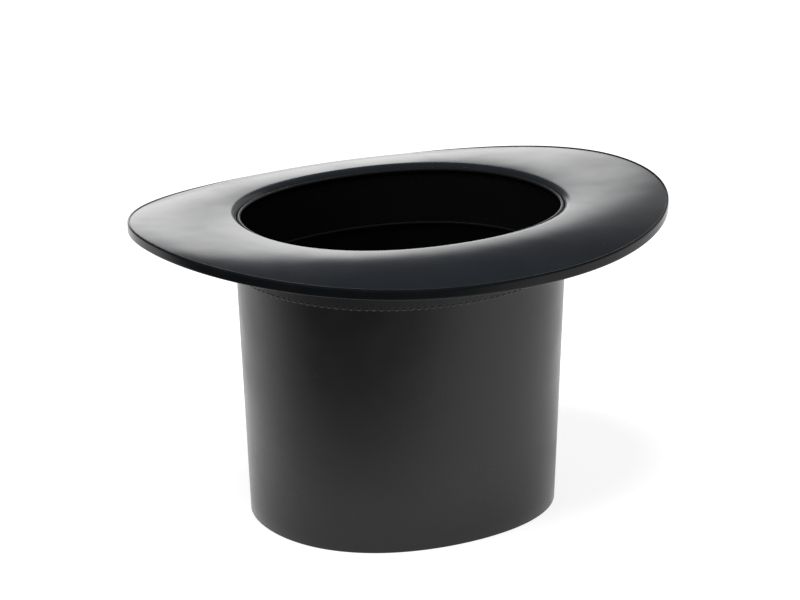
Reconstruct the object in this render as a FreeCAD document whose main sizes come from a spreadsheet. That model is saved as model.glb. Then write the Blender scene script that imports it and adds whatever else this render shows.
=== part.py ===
"""Top hat, standing upside down on its flat tip.

Millimetres. +Z is up, the origin is the centre of the tip's outer face, X runs front to back.
The crown, linings and sweatband follow one oval made of four tangent arcs, whose half-lengths
change evenly from the tip to the mouth. The brim leaves the mouth, rises at the front and
back, and rolls down at the sides.
"""
import FreeCAD
import Part
import Sketcher
import math
import os

DIMENSIONS = [
    ("hat_depth", 186.0, "height of the mouth's crest above the tip's outer face"),
    ("tip_long", 93.5, "half-length of the crown's outer oval at the tip"),
    ("tip_short", 80.0, "half-width of the crown's outer oval at the tip"),
    ("mouth_long", 101.3, "half-length of the crown's outer oval at the mouth"),
    ("mouth_short", 83.2, "half-width of the crown's outer oval at the mouth"),
    ("end_share", 0.975, "radius of the oval's end arcs as a share of its half-width"),
    ("crest_long", 102.4, "half-length of the oval along the crest of the mouth's rolled lip"),
    ("crest_short", 86.6, "half-width of the oval along the crest of the mouth's rolled lip"),
    ("lip_height", 5.0, "height of the quarter turn from the collar to the brim"),
    ("brim_long", 165.2, "half-length of the brim's edge"),
    ("brim_short", 134.5, "half-width of the brim's edge"),
    ("brim_power", 2.08, "power of the superellipse along the brim's edge, 2 being an ellipse"),
    ("climb_mean", 2.9, "first-order rise of the brim from crest to edge, mean round the hat"),
    ("climb_swing", 3.2, "first-order rise added at the ends and taken off at the sides"),
    ("roll_mean", 8.5, "second-order fall of the brim from crest to edge, mean"),
    ("roll_swing", 1.9, "second-order fall added at the ends and taken off at the sides"),
    ("sweep_mean", 1.5, "third-order rise of the brim from crest to edge, mean"),
    ("sweep_swing", 7.6, "third-order rise added at the ends and taken off at the sides"),
    ("quarter_dip", 1.0, "second-order fall between the ends and the sides, taken off at both"),
    ("curl_mean", 0.8, "fifth-order fall close to the edge, mean"),
    ("curl_swing", 2.6, "fifth-order fall added at the ends and taken off at the sides"),
    ("wall_thickness", 1.2, "crown wall"),
    ("tip_thickness", 2.0, "crown tip"),
    ("tip_bevel", 0.4, "bevel on the crown wall's lower outer edge"),
    ("ply_thickness", 1.0, "each of the brim's two plies"),
    ("lining_thickness", 0.6, "side and tip linings"),
    ("collar_depth", 37.8, "mouth's crest down to the lower edge of the collar and sweatband"),
    ("sweatband_thickness", 0.9, "leather of the sweatband"),
    ("reed_diameter", 1.8, "cord in the sweatband's rolled top edge"),
    ("reed_inset", 3.25, "crown's outer oval to the middle of the reed"),
    ("reed_drop", 3.3, "mouth's crest down to the middle of the reed"),
    ("binding_thickness", 0.5, "binding folded over the brim's edge"),
    ("binding_height", 6.0, "outer face of the binding"),
    ("binding_reach", 3.0, "binding's legs, inward from the brim's edge"),
    ("wire_diameter", 1.7, "wire inside the binding"),
    ("wire_clearance", 0.08, "space between the wire and the binding"),
    ("wire_parting", 1.0, "space between the wire's two ends, at the back"),
    ("tape_thickness", 0.3, "tape sewn round the crown under the brim"),
    ("tape_edge", 149.7, "height of the tape's lower edge, mean round the hat"),
    ("tape_swing", 1.6, "height added to that edge at the ends and taken off at the sides"),
    ("stitch_pitch", 4.3, "one stitch to the next along the crown"),
    ("stitch_length", 2.4, "one stitch"),
    ("thread_diameter", 0.6, "sewing thread"),
    ("reed_stitch_drop", 6.5, "mouth's crest down to the row of stitches under the reed"),
    ("glue_gap", 0.03, "space left between pieces that are glued or sewn face to face"),
]
SECTIONS = 60          # radial sections used for each ring that isn't flat
TURN_HANDLE = 0.5523   # handle of the cubic that stands for a quarter of a circle of radius 1

doc = FreeCAD.newDocument("top_hat")
sheet = doc.addObject("Spreadsheet::Sheet", "Sheet")
for row, (alias, size, meaning) in enumerate(DIMENSIONS, start=1):
    sheet.set(f"A{row}", meaning)
    sheet.set(f"B{row}", str(size))
    sheet.setAlias(f"B{row}", alias)
doc.recompute()


def cell(alias):
    """A driving dimension as a number."""
    return float(sheet.get(alias))


# ---- ovals, as expressions for sketches and as numbers for the brim's rings ----

def between(tip, mouth, level):
    """Expression for a half-axis of the crown's outer oval at a level."""
    return f"(Sheet.{tip} + (Sheet.{mouth} - Sheet.{tip}) * ({level}) / Sheet.hat_depth)"


def oval_expressions(level, inset):
    """Expressions for the end arc's centre and radius and the side arc's radius."""
    long_half = between("tip_long", "mouth_long", level)
    short_half = between("tip_short", "mouth_short", level)
    end = f"(Sheet.end_share * {short_half})"
    square = f"{long_half}^2 - 2 * {long_half} * {end} + {short_half}^2"
    side = f"(({square}) / (2 * ({short_half} - {end})))"
    return f"{long_half} - {end}", f"{end} - ({inset})", f"{side} - ({inset})"


def arcs_of(long_half, short_half):
    """End arc's centre and radius, and side arc's radius, of an oval of four tangent arcs."""
    end = cell("end_share") * short_half
    side = (long_half ** 2 - 2 * long_half * end + short_half ** 2) / (2 * (short_half - end))
    return long_half - end, end, side


def arc_oval_radius(long_half, short_half, inset, angle):
    """Distance from the axis to the oval moved inward by inset, along one direction."""
    centre, end, side = arcs_of(long_half, short_half)
    ahead = abs(math.cos(angle))
    across = abs(math.sin(angle))
    drop = side - short_half
    joint = math.atan2(drop, centre)
    meet_x = centre + (end - inset) * math.cos(joint)
    meet_y = (end - inset) * math.sin(joint)
    if math.atan2(across, ahead) <= math.atan2(meet_y, meet_x):
        along, reach, square = ahead * centre, end - inset, centre ** 2
    else:
        along, reach, square = -across * drop, side - inset, drop ** 2
    return along + math.sqrt(along ** 2 - square + reach ** 2)


def crown_radius(level, inset, angle):
    """Distance from the axis to the crown's outer wall, moved inward, at a level."""
    share = level / cell("hat_depth")
    long_half = cell("tip_long") + (cell("mouth_long") - cell("tip_long")) * share
    short_half = cell("tip_short") + (cell("mouth_short") - cell("tip_short")) * share
    return arc_oval_radius(long_half, short_half, inset, angle)


def crest_radius(angle):
    """Distance from the axis to the crest of the mouth's rolled lip."""
    return arc_oval_radius(cell("crest_long"), cell("crest_short"), 0.0, angle)


def edge_radius(angle):
    """Distance from the axis to the brim's edge, a superellipse."""
    power = cell("brim_power")
    ahead = abs(math.cos(angle) / cell("brim_long")) ** power
    across = abs(math.sin(angle) / cell("brim_short")) ** power
    return (ahead + across) ** (-1 / power)


def brim_height(share, angle):
    """Height of the brim's upper face, share being 0 at the crest and 1 at the edge."""
    swing = math.cos(2 * angle)
    climb = cell("climb_mean") + cell("climb_swing") * swing
    roll = cell("roll_mean") + cell("roll_swing") * swing - cell("quarter_dip") * math.cos(4 * angle)
    sweep = cell("sweep_mean") + cell("sweep_swing") * swing
    curl = cell("curl_mean") + cell("curl_swing") * swing
    rise = climb * share - roll * share ** 2 + sweep * share ** 3 - curl * share ** 5
    return cell("hat_depth") + rise


def tape_height(angle):
    """Height of the tape's lower edge."""
    return cell("tape_edge") + cell("tape_swing") * math.cos(2 * angle)


# ---- pieces made as bodies with sketches ----

def new_body(label):
    body = doc.addObject("PartDesign::Body", label)
    body.Label = label
    return body


def origin_plane(body, role):
    return next(item for item in body.Origin.OriginFeatures if item.Role == role)


def new_sketch(body, name, role="XY_Plane"):
    sketch = body.newObject("Sketcher::SketchObject", name)
    sketch.AttachmentSupport = (origin_plane(body, role), [""])
    sketch.MapMode = "FlatFace"
    return sketch


def oval_sketch(body, name, level, inset):
    """The crown's outer oval at a level, moved inward by inset: four tangent arcs."""
    sketch = new_sketch(body, name)
    sketch.setExpression("AttachmentOffset.Base.z", level)
    centre_of, end_of, side_of = oval_expressions(level, inset)
    centre = float(sheet.evalExpression(centre_of.replace("Sheet.", "")))
    end = float(sheet.evalExpression(end_of.replace("Sheet.", "")))
    side = float(sheet.evalExpression(side_of.replace("Sheet.", "")))
    drop = math.sqrt((side - end) ** 2 - centre ** 2)
    joint = math.atan2(drop, centre)
    arcs = [
        (centre, 0.0, end, -joint, joint),
        (0.0, -drop, side, joint, math.pi - joint),
        (-centre, 0.0, end, math.pi - joint, math.pi + joint),
        (0.0, drop, side, math.pi + joint, 2 * math.pi - joint),
    ]
    for x, y, radius, start, stop in arcs:
        circle = Part.Circle(FreeCAD.Vector(x, y, 0), FreeCAD.Vector(0, 0, 1), radius)
        sketch.addGeometry(Part.ArcOfCircle(circle, start, stop), False)
    for first in range(4):
        sketch.addConstraint(Sketcher.Constraint("Tangent", first, 2, (first + 1) % 4, 1))
    for arc in (0, 2):
        sketch.addConstraint(Sketcher.Constraint("PointOnObject", arc, 3, -1))
    driven = [
        (Sketcher.Constraint("DistanceX", -1, 1, 0, 3, centre), centre_of),
        (Sketcher.Constraint("DistanceX", 2, 3, -1, 1, centre), centre_of),
        (Sketcher.Constraint("Radius", 0, end), end_of),
        (Sketcher.Constraint("Radius", 2, end), end_of),
        (Sketcher.Constraint("Radius", 1, side), side_of),
        (Sketcher.Constraint("Radius", 3, side), side_of),
    ]
    for constraint, expression in driven:
        index = sketch.addConstraint(constraint)
        sketch.setExpression(f"Constraints[{index}]", expression)
    return sketch


def oval_sleeve(label, bottom, top, outer, inner, bevel=None):
    """A band that follows the crown between two levels and two insets.

    A bevel takes the corner off the lower outer edge.
    """
    body = new_body(label)
    solid = body.newObject("PartDesign::AdditiveLoft", label + "_outside")
    upper_end = oval_sketch(body, label + "_outside_top", top, outer)
    if bevel:
        solid.Profile = oval_sketch(body, label + "_outside_bottom", bottom, bevel)
        solid.Sections = [oval_sketch(body, label + "_bevel_top", bevel, outer), upper_end]
    else:
        solid.Profile = oval_sketch(body, label + "_outside_bottom", bottom, outer)
        solid.Sections = [upper_end]
    solid.Ruled = True
    doc.recompute()
    hollow = body.newObject("PartDesign::SubtractiveLoft", label + "_inside")
    hollow.Profile = oval_sketch(body, label + "_inside_bottom", bottom, inner)
    hollow.Sections = [oval_sketch(body, label + "_inside_top", top, inner)]
    hollow.Ruled = True
    doc.recompute()
    return body


def oval_plate(label, bottom, inset, thickness):
    """A flat plate that fills the crown's oval at a level."""
    body = new_body(label)
    pad = body.newObject("PartDesign::Pad", label + "_plate")
    pad.Profile = oval_sketch(body, label + "_outline", bottom, inset)
    pad.setExpression("Length", thickness)
    doc.recompute()
    return body


def crown_wall():
    """The side of the crown, from the tip to the underside of the mouth's lip."""
    top = "Sheet.hat_depth - Sheet.lip_height - Sheet.glue_gap"
    return oval_sleeve("crown_wall", "0", top, "0", "Sheet.wall_thickness", "Sheet.tip_bevel")


def crown_tip():
    """The flat top of the hat, set inside the end of the crown wall."""
    return oval_plate("crown_tip", "0", "Sheet.wall_thickness + Sheet.glue_gap", "Sheet.tip_thickness")


def side_lining():
    """Cloth lining of the crown wall, from the tip to the collar."""
    return oval_sleeve(
        "side_lining", "Sheet.tip_thickness + Sheet.glue_gap",
        "Sheet.hat_depth - Sheet.collar_depth - Sheet.glue_gap",
        "Sheet.wall_thickness + Sheet.glue_gap",
        "Sheet.wall_thickness + Sheet.glue_gap + Sheet.lining_thickness")


def tip_lining():
    """Cloth lining that lies on the inside of the tip."""
    return oval_plate(
        "tip_lining", "Sheet.tip_thickness + Sheet.glue_gap",
        "Sheet.wall_thickness + Sheet.lining_thickness + 2 * Sheet.glue_gap",
        "Sheet.lining_thickness")


def sweatband():
    """The leather band inside the collar, which sits on the wearer's head."""
    face = "Sheet.wall_thickness + Sheet.ply_thickness + 2 * Sheet.glue_gap"
    return oval_sleeve(
        "sweatband", "Sheet.hat_depth - Sheet.collar_depth",
        "Sheet.hat_depth - Sheet.lip_height", face, face + " + Sheet.sweatband_thickness")


def sweatband_reed():
    """The cord that stiffens the sweatband's top edge, laid in the turn of the lip."""
    body = new_body("sweatband_reed")
    level = "Sheet.hat_depth - Sheet.reed_drop"
    path = oval_sketch(body, "reed_path", level, "Sheet.reed_inset")
    profile = new_sketch(body, "reed_section", "XZ_Plane")
    reach = cell("mouth_long") - cell("reed_inset")
    height = cell("hat_depth") - cell("reed_drop")
    profile.addGeometry(
        Part.Circle(FreeCAD.Vector(reach, height, 0), FreeCAD.Vector(0, 0, 1), cell("reed_diameter") / 2),
        False)
    radius = profile.addConstraint(Sketcher.Constraint("Radius", 0, cell("reed_diameter") / 2))
    profile.setExpression(f"Constraints[{radius}]", "Sheet.reed_diameter / 2")
    along = profile.addConstraint(Sketcher.Constraint("DistanceX", -1, 1, 0, 3, reach))
    at_level = between("tip_long", "mouth_long", level)
    profile.setExpression(f"Constraints[{along}]", f"{at_level} - Sheet.reed_inset")
    up = profile.addConstraint(Sketcher.Constraint("DistanceY", -1, 1, 0, 3, height))
    profile.setExpression(f"Constraints[{up}]", level)
    doc.recompute()
    pipe = body.newObject("PartDesign::AdditivePipe", "reed")
    pipe.Profile = profile
    pipe.Spine = (path, [f"Edge{number + 1}" for number in range(len(path.Shape.Edges))])
    doc.recompute()
    return body


# ---- rings that rise and fall round the hat: shapes lofted through radial sections ----

def radial_point(angle, radius, height):
    return FreeCAD.Vector(radius * math.cos(angle), radius * math.sin(angle), height)


def ring(section):
    """A closed ring through radial sections; section(angle) gives one closed wire."""
    angles = [2 * math.pi * step / SECTIONS for step in range(SECTIONS)]
    return Part.makeLoft([section(angle) for angle in angles], True, False, True)


def spline_edge(angle, points):
    """A smooth edge through (radius, height) points in one radial plane."""
    curve = Part.BSplineCurve()
    curve.interpolate([radial_point(angle, radius, height) for radius, height in points])
    return curve.toShape()


def bezier_edge(angle, poles, start=0.0):
    """A cubic edge in one radial plane, cut short at its beginning."""
    curve = Part.BezierCurve()
    curve.setPoles([radial_point(angle, radius, height) for radius, height in poles])
    curve.segment(start, 1.0)
    return curve.toShape()


def line_edge(angle, first, last):
    return Part.makeLine(radial_point(angle, *first), radial_point(angle, *last))


def strip_wire(upper, lower):
    """A thin closed outline between an upper and a lower run of edges."""
    ends = [
        Part.makeLine(upper[-1].Vertexes[-1].Point, lower[-1].Vertexes[-1].Point),
        Part.makeLine(lower[0].Vertexes[0].Point, upper[0].Vertexes[0].Point),
    ]
    return Part.Wire(upper + ends[:1] + lower[::-1] + ends[1:])


def polygon_wire(angle, corners):
    points = [radial_point(angle, radius, height) for radius, height in corners]
    return Part.makePolygon(points + points[:1])


def feature(label, shape):
    piece = doc.addObject("Part::Feature", label)
    piece.Label = label
    piece.Shape = shape
    piece.Placement = FreeCAD.Placement()
    return piece


def lip_poles(angle, inset, thickness):
    """Cubic quarter turn from the crown's side to the crest, thickness below the upper face."""
    start_level = cell("hat_depth") - cell("lip_height")
    start = crown_radius(start_level, inset, angle)
    crest = crest_radius(angle)
    height = cell("lip_height") - thickness
    width = crest - start
    slope = (cell("climb_mean") + cell("climb_swing") * math.cos(2 * angle)) / (edge_radius(angle) - crest)
    top = start_level + height
    back = TURN_HANDLE * width
    return [
        (start, start_level), (start, start_level + TURN_HANDLE * height),
        (crest - back, top - slope * back), (crest, top),
    ]


def cubic(poles, share):
    """Radius on a cubic's poles at a share of its way."""
    rest = 1 - share
    weights = (rest ** 3, 3 * rest ** 2 * share, 3 * rest * share ** 2, share ** 3)
    return sum(weight * pole[0] for weight, pole in zip(weights, poles))


def share_at_radius(poles, radius):
    """Share of a cubic's way at which it reaches a radius, by halving."""
    low, high = 0.0, 1.0
    for _ in range(30):
        middle = (low + high) / 2
        if cubic(poles, middle) < radius:
            low = middle
        else:
            high = middle
    return low


def brim_edge(angle, drop):
    """The brim from the crest to the binding, drop below its upper face."""
    crest = crest_radius(angle)
    width = edge_radius(angle) - crest
    stop = width - cell("binding_thickness") - cell("glue_gap")
    radii = [stop * step / 8 for step in range(9)]
    return spline_edge(angle, [
        (crest + radius, brim_height(radius / width, angle) - drop) for radius in radii])


def upper_ply_section(angle):
    """Collar, quarter turn and upper ply, all one sheet."""
    ply = cell("ply_thickness")
    wall = cell("wall_thickness") + cell("glue_gap")
    bottom = cell("hat_depth") - cell("collar_depth")
    faces = []
    for inset, drop in ((wall + ply, 0.0), (wall, ply)):
        turn = lip_poles(angle, inset, drop)
        start = (crown_radius(bottom, inset, angle), bottom)
        faces.append([line_edge(angle, start, turn[0]), bezier_edge(angle, turn), brim_edge(angle, drop)])
    return strip_wire(*faces)


def lower_ply_section(angle):
    """Lower ply, from just outside the crown wall to the binding."""
    gap = cell("glue_gap")
    ply = cell("ply_thickness")
    wall = cell("wall_thickness") + gap
    turn = lip_poles(angle, wall, ply + gap)
    clear = crown_radius(cell("hat_depth"), -cell("tape_thickness") - gap, angle)
    first = share_at_radius(turn, clear)
    under = [(radius, height - ply) for radius, height in turn]
    upper = [bezier_edge(angle, turn, first), brim_edge(angle, ply + gap)]
    lower = [bezier_edge(angle, under, first), brim_edge(angle, 2 * ply + gap)]
    return strip_wire(upper, lower)


def binding_section(angle):
    """A channel open towards the crown, its upper leg on the brim, its lower leg under the wire."""
    skin = cell("binding_thickness")
    gap = cell("glue_gap")
    edge = edge_radius(angle)
    crest = crest_radius(angle)
    tip = edge - cell("binding_reach")
    inside = edge - skin
    top = brim_height(1.0, angle) + skin
    foot = top - cell("binding_height")

    def above(radius):
        return brim_height((radius - crest) / (edge - crest), angle) + gap

    corners = [
        (tip, above(tip)), (inside, above(inside)), (inside, foot + skin), (tip, foot + skin),
        (tip, foot), (edge - skin, foot), (edge, foot + skin), (edge, top - skin),
        (edge - skin, above(inside) + skin), (tip, above(tip) + skin),
    ]
    return polygon_wire(angle, corners)


def wire_centre(angle):
    """Middle of the wire, which lies under the lower ply and inside the binding."""
    radius = cell("wire_diameter") / 2
    away = cell("wire_clearance") + radius
    foot = brim_height(1.0, angle) + 2 * cell("binding_thickness") - cell("binding_height")
    return radial_point(angle, edge_radius(angle) - cell("binding_thickness") - away, foot + away)


def brim_wire():
    """Round wire bent round the brim, its two ends meeting at the back."""
    parting = cell("wire_parting") / cell("brim_long") / 2
    steps = 2 * SECTIONS
    sweep = 2 * (math.pi - parting)
    path = Part.BSplineCurve()
    path.interpolate([wire_centre(parting + sweep * step / steps) for step in range(steps + 1)])
    start = path.value(path.FirstParameter)
    ahead = path.tangent(path.FirstParameter)[0]
    circle = Part.Wire([Part.makeCircle(cell("wire_diameter") / 2, start, ahead)])
    return Part.Wire([path.toShape()]).makePipeShell([circle], True, False)


def tape_section(angle):
    """Thin tape on the outside of the crown, up to the underside of the brim."""
    gap = cell("glue_gap")
    top = cell("hat_depth") - cell("lip_height") - gap
    low = tape_height(angle)
    outer = -cell("tape_thickness")
    return polygon_wire(angle, [
        (crown_radius(low, -gap, angle), low), (crown_radius(low, outer, angle), low),
        (crown_radius(top, outer, angle), top), (crown_radius(top, -gap, angle), top),
    ])


def stitch_row(height_at, inset):
    """Short lengths of thread lying end to end along the crown, evenly spaced."""
    fine = 720
    turn = 2 * math.pi / fine
    points = []
    for step in range(fine + 1):
        angle = step * turn
        level = height_at(angle)
        points.append(radial_point(angle, crown_radius(level, inset, angle), level))
    lengths = [0.0]
    for before, after in zip(points, points[1:]):
        lengths.append(lengths[-1] + before.distanceToPoint(after))
    count = round(lengths[-1] / cell("stitch_pitch"))
    stitches = []
    segment = 0
    for number in range(count):
        place = lengths[-1] * (number + 0.5) / count
        while lengths[segment + 1] < place:
            segment += 1
        along = points[segment + 1] - points[segment]
        along.normalize()
        share = (place - lengths[segment]) / (lengths[segment + 1] - lengths[segment])
        middle = points[segment] + (points[segment + 1] - points[segment]) * share
        start = middle - along * (cell("stitch_length") / 2)
        stitches.append(
            Part.makeCylinder(cell("thread_diameter") / 2, cell("stitch_length"), start, along))
    return Part.makeCompound(stitches)


def crown_stitches():
    """The row of stitches along the tape's lower edge, lying on the tape."""
    radius = cell("thread_diameter") / 2
    proud = cell("tape_thickness") + 2 * cell("glue_gap") + radius
    return stitch_row(lambda angle: tape_height(angle) + radius, -proud)


def sweatband_stitches():
    """The row of stitches under the reed, lying on the sweatband's inner face."""
    face = cell("wall_thickness") + cell("ply_thickness") + cell("sweatband_thickness")
    inset = face + 4 * cell("glue_gap") + cell("thread_diameter") / 2
    level = cell("hat_depth") - cell("reed_stitch_drop")
    return stitch_row(lambda angle: level, inset)


# ---- the hat ----

pieces = [
    crown_wall(),
    crown_tip(),
    side_lining(),
    tip_lining(),
    sweatband(),
    sweatband_reed(),
    feature("brim_upper_ply", ring(upper_ply_section)),
    feature("brim_lower_ply", ring(lower_ply_section)),
    feature("brim_binding", ring(binding_section)),
    feature("brim_wire", brim_wire()),
    feature("collar_tape", ring(tape_section)),
    feature("crown_stitches", crown_stitches()),
    feature("sweatband_stitches", sweatband_stitches()),
]
doc.recompute()

for item in doc.Objects:
    if "Invalid" in item.State or "Error" in item.State:
        raise RuntimeError(f"{item.Label} was not made: {item.State}")
for piece in pieces:
    if piece.Shape.isNull() or not piece.Shape.isValid():
        raise RuntimeError(f"{piece.Label} has no valid shape")

os.makedirs("parts", exist_ok=True)
for piece in pieces:
    piece.Shape.exportStep(f"parts/{piece.Label}.step")
    box = piece.Shape.BoundBox
    print(
        f"{piece.Label:20s} solids {len(piece.Shape.Solids):4d} volume {piece.Shape.Volume:10.1f} "
        f"z {box.ZMin:7.2f} to {box.ZMax:7.2f} x {box.XMax:7.2f} y {box.YMax:7.2f}")
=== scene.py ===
"""Top hat standing upside down: lacquered crown and brim, bound edge, sweatband, linings and stitching."""
import math

import bpy
import numpy as np
from bpy.props import FloatProperty, FloatVectorProperty, IntProperty, PointerProperty
from bpy.types import Operator, Panel, PropertyGroup
from mathutils import Matrix, Vector


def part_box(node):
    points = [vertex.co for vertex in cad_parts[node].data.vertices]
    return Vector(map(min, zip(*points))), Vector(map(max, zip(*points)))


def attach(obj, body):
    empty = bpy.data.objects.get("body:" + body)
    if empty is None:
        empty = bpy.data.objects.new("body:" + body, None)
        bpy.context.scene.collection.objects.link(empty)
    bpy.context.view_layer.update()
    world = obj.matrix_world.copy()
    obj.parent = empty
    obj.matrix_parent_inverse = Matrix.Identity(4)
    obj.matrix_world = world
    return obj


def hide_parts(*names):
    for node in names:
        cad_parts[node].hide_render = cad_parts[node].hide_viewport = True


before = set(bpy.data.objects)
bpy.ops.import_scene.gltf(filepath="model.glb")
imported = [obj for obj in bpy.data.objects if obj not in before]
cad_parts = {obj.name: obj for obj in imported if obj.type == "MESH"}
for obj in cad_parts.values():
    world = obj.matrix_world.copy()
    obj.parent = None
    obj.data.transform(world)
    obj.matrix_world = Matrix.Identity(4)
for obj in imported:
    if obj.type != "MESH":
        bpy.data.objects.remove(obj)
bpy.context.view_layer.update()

bl_info = {
    "name": "Top Hat",
    "version": (1, 0, 0),
    "blender": (4, 5, 0),
    "location": "3D View > Sidebar > Top Hat",
    "description": "Builds a lacquered top hat with its sweatband, linings and stitching on a measured frame",
    "category": "Object",
}

MM = 0.001
TURN_HANDLE = 0.5523    # handle of the cubic that stands for a quarter of a circle of radius 1
FULL_TURN = 2 * math.pi
LEAST_DEPTH = 0.12      # a ray flatter to the wall than this meets the wall as this one does
WALL_HEIGHTS = (0.0, 1.2)
WALL_SIDES = (-1.0, 0.6)
FLOOR_RINGS = (0.6, 3.0)
FLOOR_COLUMNS = 96


# ---- measures taken from the frame ----

def node_points(node):
    """All vertices of a frame node, as an array of x, y, z."""
    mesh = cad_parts[node].data
    points = np.empty(len(mesh.vertices) * 3)
    mesh.vertices.foreach_get("co", points)
    return points.reshape(-1, 3)


def halves_between(node, low, high):
    """Half-length and half-width of a node's outline between two levels."""
    points = node_points(node)
    band = points[(points[:, 2] >= low) & (points[:, 2] <= high)]
    return float(np.abs(band[:, 0]).max()), float(np.abs(band[:, 1]).max())


WALL_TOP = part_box("crown_wall")[1].z
TIP_HALVES = halves_between("crown_wall", -MM, MM)
MOUTH_HALVES = halves_between("crown_wall", WALL_TOP - 0.5 * MM, WALL_TOP + MM)
EDGE_HALVES = (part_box("brim_binding")[1].x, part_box("brim_binding")[1].y)
TIP_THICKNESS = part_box("crown_tip")[1].z
LINING_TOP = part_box("side_lining")[1].z
LINING_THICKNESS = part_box("tip_lining")[1].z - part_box("tip_lining")[0].z
SWEATBAND_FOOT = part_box("sweatband")[0].z
REED_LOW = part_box("sweatband_reed")[0].z
REED_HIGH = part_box("sweatband_reed")[1].z


# ---- what a user would change ----

def length_of(name, description, millimetres):
    return FloatProperty(
        name=name, description=description, default=millimetres * MM, min=0.0, precision=5,
        subtype="DISTANCE", unit="LENGTH")


def colour_of(name, description, red, green, blue):
    return FloatVectorProperty(
        name=name, description=description, default=(red, green, blue), min=0.0, max=1.0, subtype="COLOR")


def share_of(name, description, amount):
    return FloatProperty(
        name=name, description=description, default=amount, min=0.0, max=1.0, subtype="FACTOR")


def number_of(name, description, amount):
    return FloatProperty(name=name, description=description, default=amount)


def angle_of(name, description, degrees):
    return FloatProperty(
        name=name, description=description, default=math.radians(degrees), subtype="ANGLE")


class TopHatShape(PropertyGroup):
    """Sizes of the hat that the frame's boxes don't give."""
    crest_level: length_of("Crest Level", "Height of the mouth's crest above the tip", 186.0)
    crest_long: length_of("Crest Half-Length", "Half-length of the crest of the mouth's lip", 102.4)
    crest_short: length_of("Crest Half-Width", "Half-width of the crest of the mouth's lip", 86.6)
    lip_height: length_of("Lip Height", "Height of the turn from the collar to the brim", 5.0)
    climb_mean: length_of("Brim Climb", "First-order rise of the brim, mean round the hat", 2.9)
    climb_swing: length_of("Brim Climb Swing", "Rise added at the ends and taken off at the sides", 3.2)
    roll_mean: length_of("Brim Roll", "Second-order fall of the brim, mean round the hat", 8.5)
    roll_swing: length_of("Brim Roll Swing", "Fall added at the ends and taken off at the sides", 1.9)
    quarter_dip: length_of("Quarter Dip", "Fall between the ends and the sides, taken off at both", 1.0)
    sweep_mean: length_of("Brim Sweep", "Third-order rise of the brim, mean round the hat", 1.5)
    sweep_swing: length_of("Brim Sweep Swing", "Sweep added at the ends and taken off at the sides", 7.6)
    curl_mean: length_of("Brim Curl", "Fall close to the edge, mean round the hat", 0.8)
    curl_swing: length_of("Brim Curl Swing", "Fall added at the ends and taken off at the sides", 2.6)
    wall: length_of("Crown Wall", "Thickness of the crown wall", 1.2)
    tip_edge: length_of("Tip Edge", "Rounding of the tip's edge", 0.3)
    lining_edge: length_of("Lining Edge", "Rounding of the tip lining's edge", 0.25)
    ply: length_of("Brim Ply", "Thickness of each ply of the brim", 1.0)
    gap: length_of("Glue Gap", "Space between glued faces", 0.03)
    leather: length_of("Sweatband", "Thickness of the sweatband", 0.9)
    hem: length_of("Hem", "Height of the sweatband's folded lower edge", 1.0)
    reed: length_of("Reed", "Radius of the cord and the turn of the leather over it", 0.75)
    reed_inset: length_of("Reed Inset", "Crown's outer oval to the middle of the reed", 3.25)
    rolled_leather: length_of("Skived Leather", "Thickness of the leather where it rolls round the reed", 0.4)
    binding: length_of("Binding", "Thickness of the binding", 0.5)
    binding_height: length_of("Binding Height", "Outer face of the binding", 6.0)
    binding_reach: length_of("Binding Reach", "Width of the binding's lower leg", 3.0)
    binding_lap: length_of("Binding Lap", "Width of the binding's thinned upper leg", 1.5)
    binding_corner: length_of("Binding Corner", "Rounding of the binding's two corners", 0.85)
    binding_skive: length_of("Binding Skive", "Thickness of the upper leg at its inner end", 0.06)
    tape: length_of("Tape", "Thickness of the tape under the brim", 0.3)
    tape_edge: length_of("Tape Edge", "Mean height of the tape's lower edge", 149.7)
    tape_swing: length_of("Tape Swing", "Height added at the ends and taken off at the sides", 1.6)
    stitch_pitch: length_of("Stitch Pitch", "From one stitch to the next", 4.3)
    stitch_length: length_of("Stitch Length", "Length of one stitch", 2.3)
    thread: length_of("Thread", "Diameter of the sewing thread", 0.8)
    reed_stitch_drop: length_of("Reed Stitch Drop", "Crest down to the stitches under the reed", 6.5)
    fullness: number_of("Crown Fullness", "How much fuller than an ellipse the crown is", 0.03)
    edge_power: number_of("Edge Oval", "Superellipse power of the brim's edge", 2.08)
    columns: IntProperty(name="Columns", description="Steps round the hat in each shell", default=360, min=32)


class TopHatFinish(PropertyGroup):
    """Colours and gloss of the hat's materials."""
    # The crown's faint green cast and the brim's blue cast are painted reflection: one black lacquer given
    # two tints that stand in for the room reflected in it.
    crown: colour_of("Crown", "Lacquered side of the crown", 0.0088, 0.0096, 0.0088)
    brim: colour_of("Brim", "Lacquered brim", 0.0045, 0.0065, 0.0095)
    binding: colour_of("Binding", "Folded binding", 0.0042, 0.0048, 0.0055)
    leather: colour_of("Leather", "Sweatband", 0.004, 0.004, 0.0042)
    lining: colour_of("Lining", "Satin lining", 0.002, 0.002, 0.0022)
    tape: colour_of("Tape", "Sewn tape", 0.0055, 0.006, 0.0052)
    # The thread's pale grey is painted highlight: it keeps the stitches light even where they lie in shade.
    thread: colour_of("Thread", "Waxed thread", 0.085, 0.09, 0.085)
    dark_thread: colour_of("Dark Thread", "Thread of the sweatband", 0.0035, 0.0035, 0.0035)
    steel: colour_of("Steel", "Drawn wire inside the binding", 0.45, 0.46, 0.48)
    crown_roughness: share_of("Crown Roughness", "Roughness of the crown's lacquer", 0.3)
    brim_roughness: share_of("Brim Roughness", "Roughness of the brim's lacquer", 0.19)


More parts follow.
